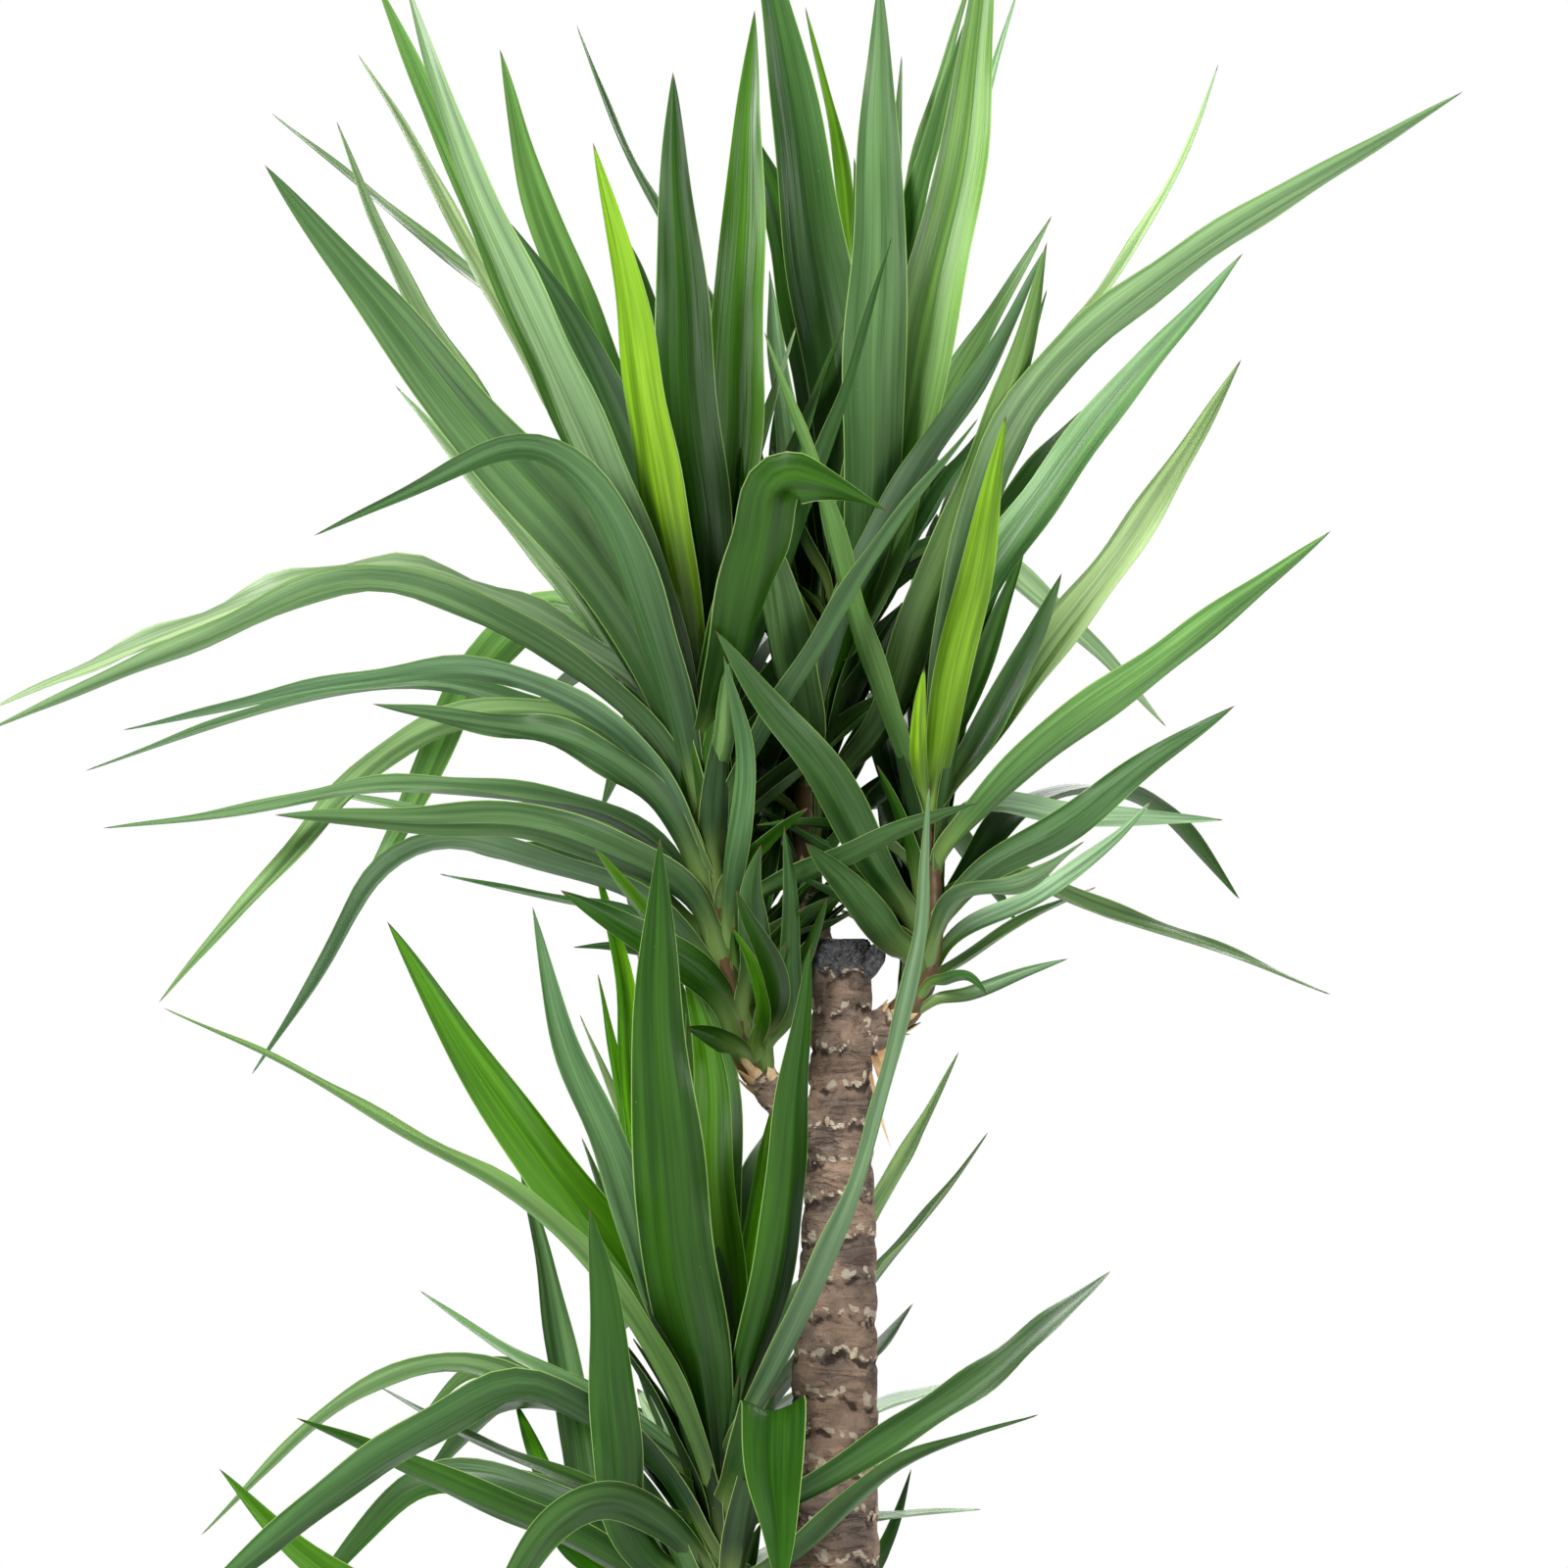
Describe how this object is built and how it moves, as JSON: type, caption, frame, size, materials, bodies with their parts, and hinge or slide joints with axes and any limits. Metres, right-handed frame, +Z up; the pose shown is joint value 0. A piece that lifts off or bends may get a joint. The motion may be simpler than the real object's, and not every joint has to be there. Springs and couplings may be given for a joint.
{
  "type": "potted yucca",
  "caption": "Cane yucca in a plain nursery pot: sawn, wax-topped canes with shoots of long arching sword-shaped leaves.",
  "frame": {"origin": "middle of the pot's flat underside", "axes": "+Z up; the plant's front looks along -Y, with +X to the right of someone who faces it"},
  "size_m": [0.9015, 0.6407, 1.6455],
  "materials": {
    "pot_plastic": "satin",
    "soil": "matte",
    "bark": "matte",
    "wax": "satin",
    "leaf": "satin"
  },
  "bodies": {
    "root": {"pot": "pot_plastic", "soil": "soil", "tall_cane": "bark", "tall_cane_wax": "wax", "short_cane": "bark", "short_cane_wax": "wax", "left_crown": "leaf", "right_crown": "leaf", "back_crown": "leaf", "low_crown": "leaf"}
  },
  "joints": []
}
